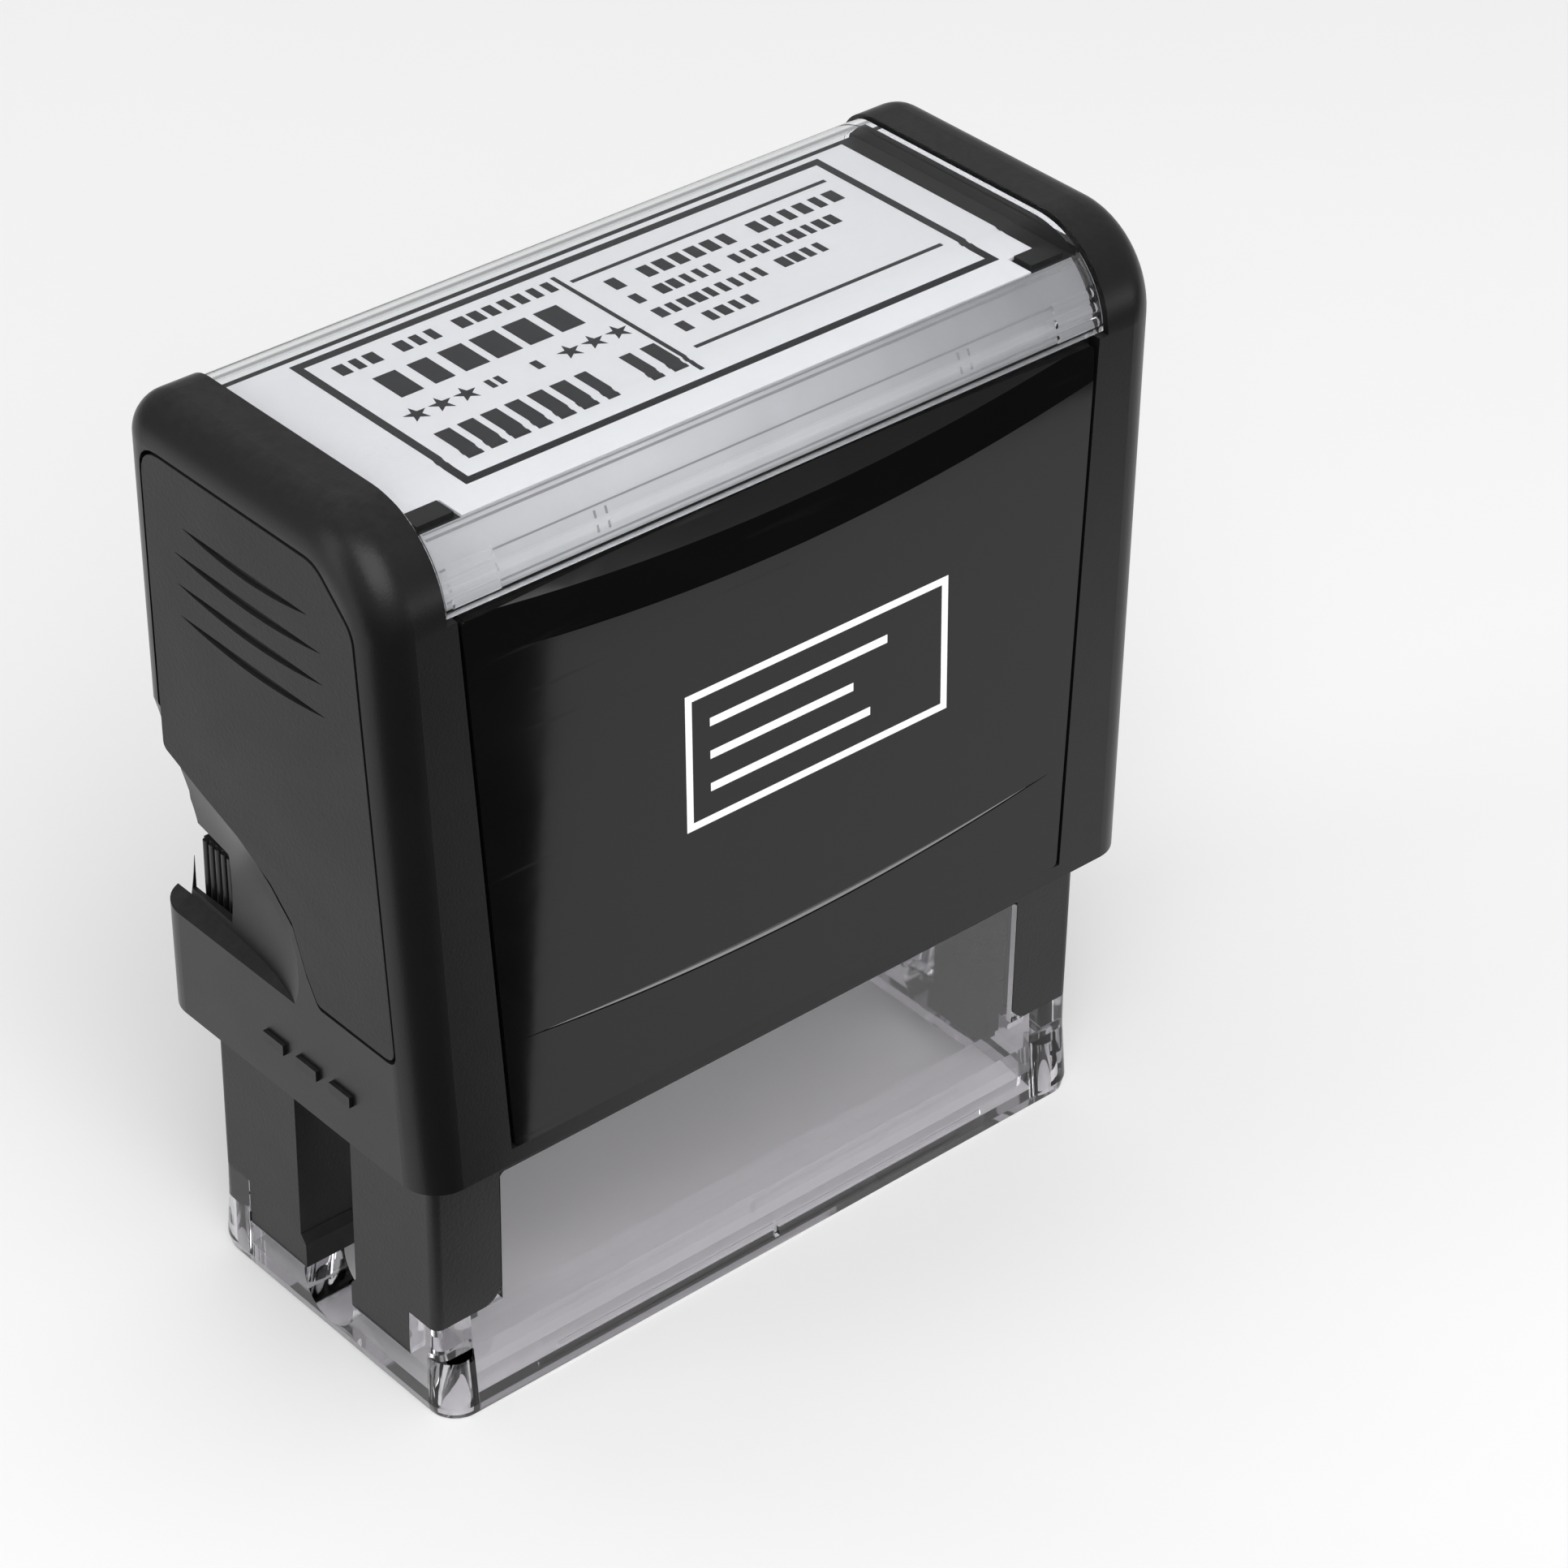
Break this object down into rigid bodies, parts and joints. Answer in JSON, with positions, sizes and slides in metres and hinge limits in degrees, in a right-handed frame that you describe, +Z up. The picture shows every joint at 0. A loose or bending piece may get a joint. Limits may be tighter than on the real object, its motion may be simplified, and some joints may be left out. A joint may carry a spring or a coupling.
{
  "type": "self-inking stamp",
  "caption": "Self-inking text stamp: a sprung black cap slides on a frame with a clear foot and turns a rubber text plate over from the ink pad to the paper.",
  "frame": {"origin": "centre of the clear foot's underside, where the stamp stands on the paper", "axes": "+Z up through the cap, the way the hand presses is -Z; X along the length of the imprint; -Y is the front, with the full-height glossy plate; +Y is the back, where the ink cartridge slides out"},
  "size_m": [0.0956, 0.0428, 0.1018],
  "materials": {
    "clear_smoke": "clear smoky plastic",
    "black_frame": "fine satin grain",
    "black_cartridge": "satin",
    "pad_foam": "ink-soaked foam",
    "pad_cloth": "woven",
    "black_matte": "fine satin grain",
    "panel_matte": "fine satin grain",
    "panel_gloss": "high gloss",
    "paper": "printed white card",
    "spring_steel": "drawn wire",
    "clear_window": "clear moulded plastic",
    "foam_tape": "closed-cell foam",
    "die_rubber": "laser-cut rubber"
  },
  "bodies": {
    "base": {"clear_base": "clear_smoke", "frame": "black_frame", "spring_left": "spring_steel", "spring_right": "spring_steel"},
    "cap": {"cap_shell": "black_matte", "end_panel_left": "panel_matte", "end_panel_right": "panel_matte", "front_panel": "panel_gloss", "back_panel": "panel_gloss", "yoke": "black_frame", "label_card": "paper"},
    "window": {"index_window": "clear_window"},
    "cartridge": {"cartridge_case": "black_cartridge", "ink_pad": "pad_foam", "pad_cover": "pad_cloth"},
    "carrier": {"plate_carrier": "black_frame", "adhesive_foam": "foam_tape", "rubber_die": "die_rubber"}
  },
  "joints": [
    {"name": "cap_press", "type": "slide", "parent": "base", "child": "cap", "axis": [0, 0, -1], "range_m": [0, 0.027], "stiffness_N_per_m": 350, "springref_m": -0.012, "deforming": ["spring_left", "spring_right"]},
    {"name": "plate_turn", "type": "hinge", "parent": "cap", "child": "carrier", "pos_m": [0, 0, 0.032], "axis": [1, 0, 0], "range_deg": [0, 180]},
    {"name": "cartridge_out", "type": "slide", "parent": "base", "child": "cartridge", "axis": [0, 1, 0], "range_m": [0, 0.036]},
    {"name": "window_lift", "type": "slide", "parent": "cap", "child": "window", "axis": [0, 0, 1], "range_m": [0, 0.02]}
  ],
  "couplings": [
    {"joint": "plate_turn", "follows": "cap_press", "rad_per_m": 116.36}
  ]
}
